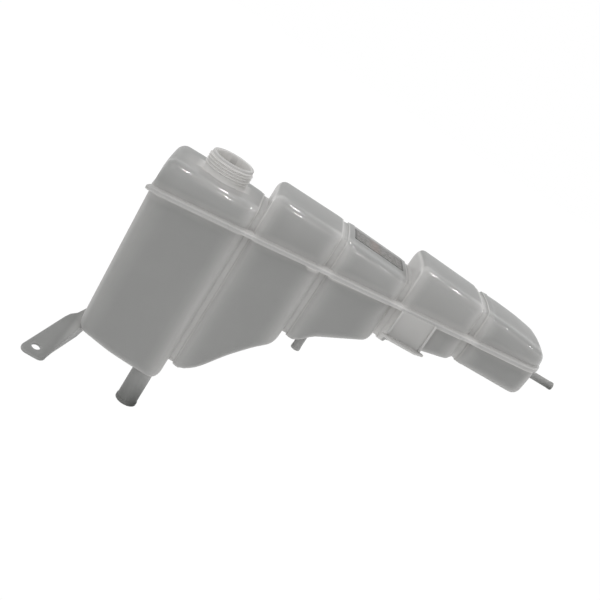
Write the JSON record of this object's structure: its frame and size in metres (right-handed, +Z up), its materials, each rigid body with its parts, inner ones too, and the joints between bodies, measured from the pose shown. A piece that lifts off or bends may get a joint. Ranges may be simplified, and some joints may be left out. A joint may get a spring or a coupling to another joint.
{
  "type": "coolant expansion tank",
  "caption": "Translucent plastic coolant expansion tank with a row of joined chambers, a threaded filler neck, pipe nipples, a bracket arm and a clip tab.",
  "frame": {"origin": "on the axis of the filler neck, level with the top of the neck's chamber", "axes": "+X along the tank from the filler neck's end to the vent nipple's end, -Y the side with the bracket arm and the clip tab, +Z up along the filler neck"},
  "size_m": [0.5483, 0.1776, 0.3287],
  "materials": {
    "shell_plastic": "satin",
    "label_film": "matte"
  },
  "bodies": {
    "root": {"upper_shell": "shell_plastic", "lower_shell": "shell_plastic", "label": "label_film"}
  },
  "joints": []
}
